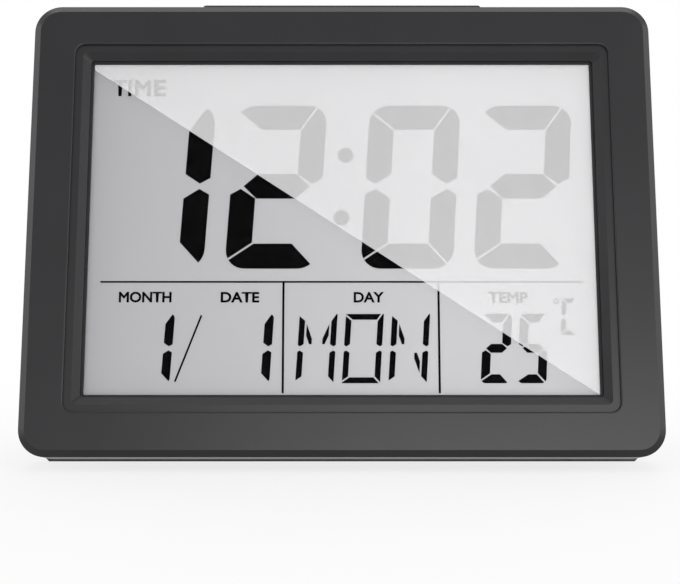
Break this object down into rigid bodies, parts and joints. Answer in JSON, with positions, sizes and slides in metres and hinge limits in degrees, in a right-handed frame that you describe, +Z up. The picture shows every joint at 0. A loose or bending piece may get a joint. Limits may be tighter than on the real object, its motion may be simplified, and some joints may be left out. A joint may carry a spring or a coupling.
{
  "type": "dementia day clock",
  "caption": "Leaning desk clock with a large day and time display in a stepped dark frame, a long top bar, and rear buttons, a slide switch and a battery door.",
  "frame": {"origin": "centre of the bounding box in plan, at the height of the table the clock stands on", "axes": "+X to the right as the display is read, +Y to the back of the clock, +Z up"},
  "size_m": [0.14, 0.045, 0.1033],
  "materials": {
    "frame_plastic": "fine satin texture, moulded in dark grey",
    "case_plastic": "fine spark-eroded texture, moulded in dark grey",
    "key_plastic": "smooth satin, moulded in near black",
    "clear_acrylic": "polished clear sheet",
    "adhesive_foam": "matt black die-cut foam tape",
    "polariser_film": "smooth grey film",
    "display_glass": "polished sheet glass",
    "frosted_acrylic": "clear sheet with a frosted back",
    "white_sheet": "white film",
    "white_plastic": "moulded in white",
    "led_resin": "cast resin",
    "silicone_rubber": "layered silicone",
    "circuit_board": "green solder mask on glass epoxy",
    "black_epoxy": "poured resin",
    "plated_steel": "nickel plated",
    "capacitor_sleeve": "shrunk sleeve with a bare aluminium top",
    "screw_steel": "zinc plated",
    "switch_plastic": "moulded in black",
    "plunger_plastic": "moulded in a pale natural colour",
    "cell_jacket": "shrunk film over steel, with bare ends",
    "sounder_brass": "thin rolled disc",
    "sounder_ceramic": "silvered ceramic"
  },
  "bodies": {
    "clock_body": {"front_frame": "frame_plastic", "rear_case": "case_plastic", "display_lens": "clear_acrylic", "lens_tape": "adhesive_foam", "lcd_front_film": "polariser_film", "lcd_rear_film": "polariser_film", "lcd_front_glass": "display_glass", "lcd_rear_glass": "display_glass", "light_guide": "frosted_acrylic", "reflector_sheet": "white_sheet", "lcd_cradle": "white_plastic", "backlight_leds": "led_resin", "contact_strip": "silicone_rubber", "main_board": "circuit_board", "key_board": "circuit_board", "controller_chip": "black_epoxy", "temperature_sensor": "black_epoxy", "quartz_crystal": "plated_steel", "capacitor": "capacitor_sleeve", "case_screws": "screw_steel", "board_screws": "screw_steel", "snooze_switch": "switch_plastic", "key_switches": "switch_plastic", "alarm_switch": "switch_plastic", "battery_upper": "cell_jacket", "battery_lower": "cell_jacket", "contact_bridge": "plated_steel", "contact_negative": "plated_steel", "contact_positive": "plated_steel", "spring_upper": "plated_steel", "spring_lower": "plated_steel", "buzzer_disc": "sounder_brass", "buzzer_crystal": "sounder_ceramic"},
    "snooze_bar": {"snooze_bar": "frame_plastic", "snooze_plunger": "plunger_plastic"},
    "mode_button": {"mode_button": "key_plastic", "mode_plunger": "plunger_plastic"},
    "set_button": {"set_button": "key_plastic", "set_plunger": "plunger_plastic"},
    "up_button": {"up_button": "key_plastic", "up_plunger": "plunger_plastic"},
    "down_button": {"down_button": "key_plastic", "down_plunger": "plunger_plastic"},
    "unit_button": {"unit_button": "key_plastic", "unit_plunger": "plunger_plastic"},
    "alarm_slider": {"alarm_slider": "key_plastic", "alarm_lever": "plunger_plastic"},
    "battery_door": {"battery_door": "case_plastic"}
  },
  "joints": [
    {"name": "snooze_press", "type": "slide", "parent": "clock_body", "child": "snooze_bar", "axis": [0, -0.2419, -0.9703], "range_m": [0, 0.0008], "stiffness_N_per_m": 900, "springref_m": -0.0005},
    {"name": "mode_press", "type": "slide", "parent": "clock_body", "child": "mode_button", "axis": [0, -1, 0], "range_m": [0, 0.0005], "stiffness_N_per_m": 700, "springref_m": -0.0003},
    {"name": "set_press", "type": "slide", "parent": "clock_body", "child": "set_button", "axis": [0, -1, 0], "range_m": [0, 0.0005], "stiffness_N_per_m": 700, "springref_m": -0.0003},
    {"name": "up_press", "type": "slide", "parent": "clock_body", "child": "up_button", "axis": [0, -1, 0], "range_m": [0, 0.0005], "stiffness_N_per_m": 700, "springref_m": -0.0003},
    {"name": "down_press", "type": "slide", "parent": "clock_body", "child": "down_button", "axis": [0, -1, 0], "range_m": [0, 0.0005], "stiffness_N_per_m": 700, "springref_m": -0.0003},
    {"name": "unit_press", "type": "slide", "parent": "clock_body", "child": "unit_button", "axis": [0, -1, 0], "range_m": [0, 0.0005], "stiffness_N_per_m": 700, "springref_m": -0.0003},
    {"name": "alarm_slide", "type": "slide", "parent": "clock_body", "child": "alarm_slider", "axis": [1, 0, 0], "range_m": [0, 0.004]},
    {"name": "battery_door_swing", "type": "hinge", "parent": "clock_body", "child": "battery_door", "pos_m": [0, 0.0215, 0.0088], "axis": [-1, 0, 0], "range_deg": [0, 80]}
  ]
}
